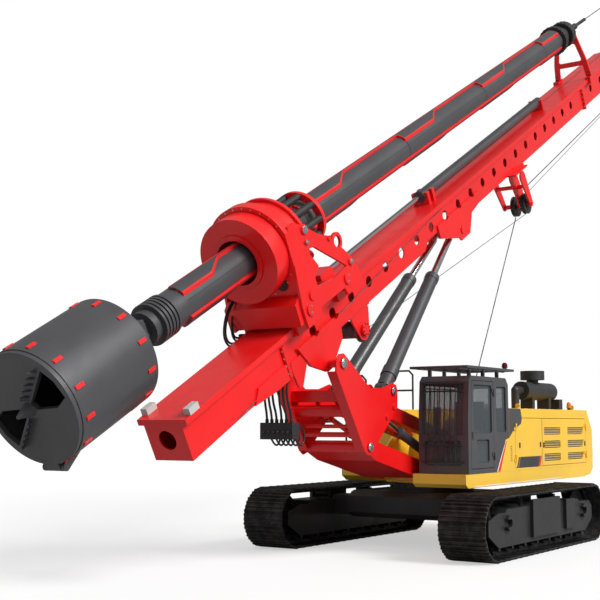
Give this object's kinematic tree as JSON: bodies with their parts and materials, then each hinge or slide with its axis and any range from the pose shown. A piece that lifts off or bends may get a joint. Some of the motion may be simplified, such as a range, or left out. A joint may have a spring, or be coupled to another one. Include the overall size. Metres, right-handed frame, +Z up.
{
  "type": "rotary piling rig",
  "caption": "Crawler piling rig with a red mast leaning back over a yellow slewing body, rotary drive on a sliding carriage, round kelly bar and hinged-bottom drilling bucket.",
  "frame": {"origin": "on the ground, under the middle of the machine's bounding box in the pose of the picture", "axes": "+X forward to the bucket, along the tracks; +Y to the machine's left, the cab's side; +Z up"},
  "size_m": [21.1721, 4.42, 13.068],
  "materials": {
    "red_paint": "gloss",
    "charcoal_paint": "satin",
    "yellow_paint": "gloss",
    "black_paint": "satin",
    "dark_steel": "cast and painted",
    "track_steel": "worn",
    "chromed_rod": "polished",
    "rope_steel": "greased",
    "black_plastic": "matt",
    "window_glass": "tinted"
  },
  "bodies": {
    "undercarriage": {"car_body": "black_paint", "slew_ring": "dark_steel", "track_frame_left": "black_paint", "track_frame_right": "black_paint", "running_gear_left": "dark_steel", "running_gear_right": "dark_steel", "track_left": "track_steel", "track_right": "track_steel"},
    "upper": {"platform": "yellow_paint", "counterweight": "yellow_paint", "engine": "dark_steel", "cab_shell": "charcoal_paint", "cab_glass": "window_glass", "cab_interior": "black_plastic", "roof_guard": "charcoal_paint", "left_hood": "yellow_paint", "right_body": "yellow_paint", "tool_box": "charcoal_paint", "air_cleaner": "black_plastic", "handrails": "black_paint", "winch_frame": "charcoal_paint"},
    "cab_door_leaf": {"cab_door": "charcoal_paint", "door_glass": "window_glass"},
    "hood_leaf_front": {"hood_door_front": "yellow_paint"},
    "hood_leaf_rear": {"hood_door_rear": "yellow_paint"},
    "main_drum": {"winch_drum": "rope_steel"},
    "boom_link": {"boom": "red_paint"},
    "strut_links": {"upper_struts": "red_paint"},
    "triangle": {"triangle_frame": "red_paint"},
    "luff_barrel_pair": {"luff_barrels": "charcoal_paint"},
    "luff_rod_pair": {"luff_rods": "chromed_rod"},
    "mast_barrel_pair": {"mast_barrels": "charcoal_paint"},
    "rod_left": {"mast_rod_left": "chromed_rod"},
    "rod_right": {"mast_rod_right": "chromed_rod"},
    "mast": {"mast_foot": "red_paint", "mast_middle": "red_paint", "mast_top": "red_paint", "mast_head": "red_paint", "guide_bracket": "red_paint", "auxiliary_winch_frame": "red_paint", "crowd_barrel": "charcoal_paint"},
    "auxiliary_drum": {"auxiliary_winch_drum": "rope_steel"},
    "sheave_front": {"head_sheave_front": "dark_steel"},
    "sheave_rear": {"head_sheave_rear": "dark_steel"},
    "sheave_main": {"guide_sheave_main": "dark_steel"},
    "sheave_auxiliary": {"guide_sheave_auxiliary": "dark_steel"},
    "crowd_carriage": {"carriage": "red_paint", "power_head": "red_paint", "crowd_rod": "chromed_rod"},
    "turning_sleeve": {"drive_head": "red_paint"},
    "guide": {"kelly_guide": "red_paint"},
    "kelly": {"kelly_bar": "charcoal_paint", "bucket": "charcoal_paint"},
    "swivel": {"rope_swivel": "dark_steel"},
    "gate": {"bucket_gate": "charcoal_paint"}
  },
  "joints": [
    {"name": "slew", "type": "hinge", "parent": "undercarriage", "child": "upper", "pos_m": [0.82217, 0, 1.075], "axis": [0, 0, 1], "continuous": true},
    {"name": "cab_door_hinge", "type": "hinge", "parent": "upper", "child": "cab_door_leaf", "pos_m": [1.57817, 1.566, 1.56], "axis": [0, 0, 1], "range_deg": [0, 100]},
    {"name": "hood_front_hinge", "type": "hinge", "parent": "upper", "child": "hood_leaf_front", "pos_m": [0.70617, 1.566, 1.5], "axis": [0, 0, -1], "range_deg": [0, 100]},
    {"name": "hood_rear_hinge", "type": "hinge", "parent": "upper", "child": "hood_leaf_rear", "pos_m": [-2.68183, 1.566, 1.5], "axis": [0, 0, 1], "range_deg": [0, 100]},
    {"name": "main_winch", "type": "hinge", "parent": "upper", "child": "main_drum", "pos_m": [-0.73783, 0, 1.8], "axis": [0, 1, 0], "continuous": true},
    {"name": "luff", "type": "hinge", "parent": "upper", "child": "boom_link", "pos_m": [1.77617, 0, 1.244], "axis": [0, -1, 0], "range_deg": [-8, 34]},
    {"name": "strut_hinge", "type": "hinge", "parent": "upper", "child": "strut_links", "pos_m": [1.01617, 0, 1.859], "axis": [0, -1, 0], "range_deg": [-8, 34]},
    {"name": "triangle_hinge", "type": "hinge", "parent": "boom_link", "child": "triangle", "pos_m": [3.97198, 0, 1.73482], "axis": [0, -1, 0], "range_deg": [-34, 8]},
    {"name": "luff_barrel_hinge", "type": "hinge", "parent": "upper", "child": "luff_barrel_pair", "pos_m": [1.44217, 0, 1.42], "axis": [0, -1, 0], "range_deg": [-9, 35]},
    {"name": "luff_rod_slide", "type": "slide", "parent": "luff_barrel_pair", "child": "luff_rod_pair", "axis": [0.9332, 0, 0.3592], "range_m": [-0.0647, 0.2099]},
    {"name": "mast_tilt", "type": "hinge", "parent": "triangle", "child": "mast", "pos_m": [4.72198, 0, 2.96982], "axis": [0, 1, 0], "range_deg": [-28.8, 66]},
    {"name": "mast_barrel_hinge", "type": "hinge", "parent": "triangle", "child": "mast_barrel_pair", "pos_m": [3.24198, 0, 2.59982], "axis": [0, 1, 0], "range_deg": [-32.68, 73.6]},
    {"name": "mast_rod_slide_left", "type": "slide", "parent": "mast_barrel_pair", "child": "rod_left", "axis": [-0.7145, -0.0594, 0.6971], "range_m": [-0.6585, 1.5025]},
    {"name": "mast_rod_slide_right", "type": "slide", "parent": "mast_barrel_pair", "child": "rod_right", "axis": [-0.7145, 0.0594, 0.6971], "range_m": [-0.6585, 1.5025]},
    {"name": "auxiliary_winch", "type": "hinge", "parent": "mast", "child": "auxiliary_drum", "pos_m": [3.59944, 0, 3.56412], "axis": [0, 1, 0], "continuous": true},
    {"name": "front_sheave_turn", "type": "hinge", "parent": "mast", "child": "sheave_front", "pos_m": [-9.53064, 0, 12.76805], "axis": [0, 1, 0], "continuous": true},
    {"name": "rear_sheave_turn", "type": "hinge", "parent": "mast", "child": "sheave_rear", "pos_m": [-10.28608, 0, 11.18634], "axis": [0, 1, 0], "continuous": true},
    {"name": "main_guide_turn", "type": "hinge", "parent": "mast", "child": "sheave_main", "pos_m": [-3.16619, 0, 6.6388], "axis": [0, 1, 0], "continuous": true},
    {"name": "auxiliary_guide_turn", "type": "hinge", "parent": "mast", "child": "sheave_auxiliary", "pos_m": [-2.90924, 0.33, 6.62878], "axis": [0, 1, 0], "continuous": true},
    {"name": "crowd", "type": "slide", "parent": "mast", "child": "crowd_carriage", "axis": [-0.8763, 0, 0.4818], "range_m": [-2.1, 2.9]},
    {"name": "sleeve_spin", "type": "hinge", "parent": "crowd_carriage", "child": "turning_sleeve", "pos_m": [6.49694, 0, 4.29916], "axis": [-0.8763, 0, 0.4818], "continuous": true},
    {"name": "kelly_feed", "type": "slide", "parent": "mast", "child": "guide", "axis": [-0.8763, 0, 0.4818], "range_m": [-8.5, 0.9]},
    {"name": "kelly_spin", "type": "hinge", "parent": "guide", "child": "kelly", "pos_m": [8.63075, 0, 3.12609], "axis": [-0.8763, 0, 0.4818], "continuous": true},
    {"name": "swivel_spin", "type": "hinge", "parent": "kelly", "child": "swivel", "pos_m": [-5.47779, 0, 10.88232], "axis": [-0.8763, 0, 0.4818], "continuous": true},
    {"name": "gate_hinge", "type": "hinge", "parent": "kelly", "child": "gate", "pos_m": [9.83562, 0, 1.60214], "axis": [0, 1, 0], "range_deg": [0, 85]}
  ],
  "couplings": [
    {"joint": "strut_hinge", "follows": "luff", "ratio": 1},
    {"joint": "triangle_hinge", "follows": "luff", "ratio": -1},
    {"joint": "luff_barrel_hinge", "follows": "luff", "ratio": 1},
    {"joint": "luff_rod_slide", "follows": "luff", "m_per_rad": 0.32},
    {"joint": "mast_barrel_hinge", "follows": "mast_tilt", "ratio": 1.1},
    {"joint": "mast_rod_slide_left", "follows": "mast_tilt", "m_per_rad": 1.3},
    {"joint": "mast_rod_slide_right", "follows": "mast_tilt", "m_per_rad": 1.3},
    {"joint": "sleeve_spin", "follows": "kelly_spin", "ratio": 1}
  ]
}
